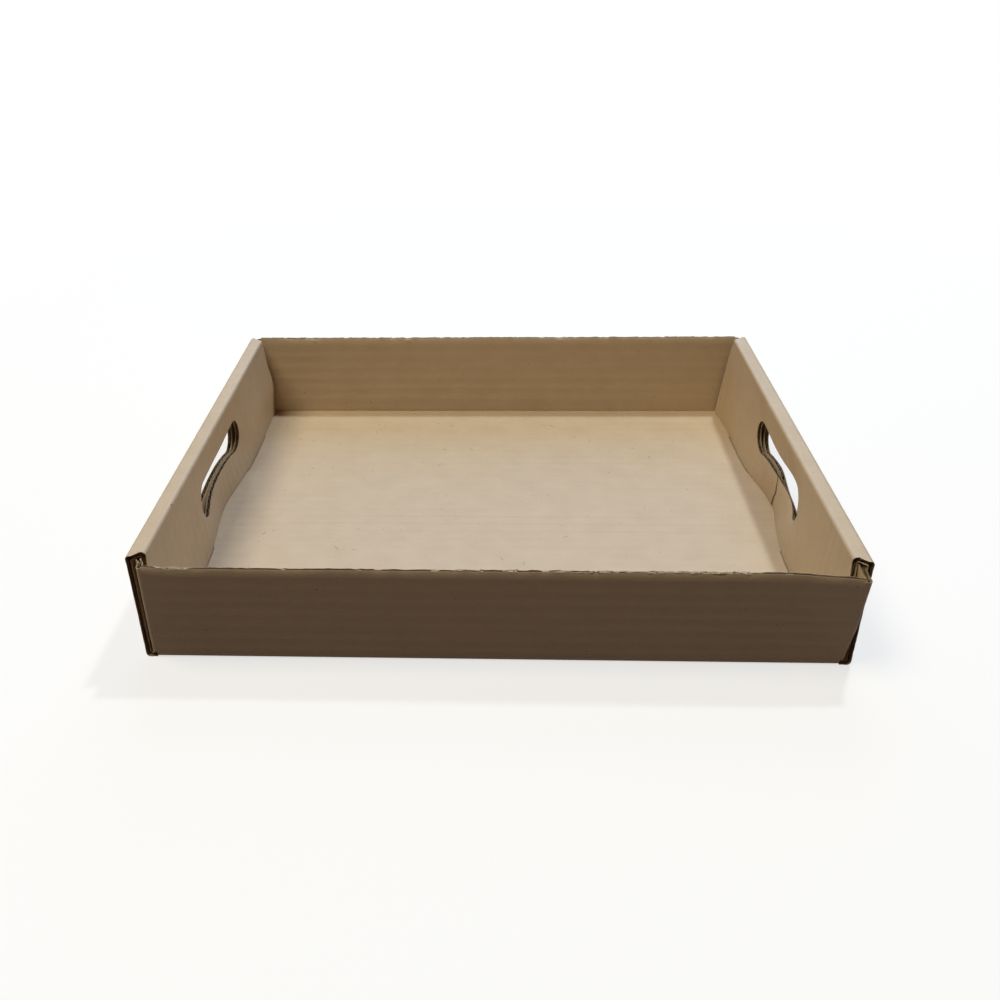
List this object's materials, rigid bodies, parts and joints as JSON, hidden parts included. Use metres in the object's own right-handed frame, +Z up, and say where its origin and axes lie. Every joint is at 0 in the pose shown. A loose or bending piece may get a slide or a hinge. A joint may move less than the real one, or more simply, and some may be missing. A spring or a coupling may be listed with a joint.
{
  "type": "cardboard tray box",
  "caption": "Open rectangular tray folded from one corrugated blank, with roll-over end walls locked into the base and a waisted hand hole in each end.",
  "frame": {"origin": "middle of the tray's outline, at the level of the underside that it rests on", "axes": "+X along the length, between the two end walls with hand holes; +Y across the width, towards the back long wall; +Z up, out of the open top"},
  "size_m": [0.34, 0.2744, 0.0588],
  "materials": {
    "kraft_board": "matte brown kraft paper with a faint washboard from the flutes, raw cut edges and light scuffs"
  },
  "bodies": {
    "root": {"tray": "kraft_board"}
  },
  "joints": []
}
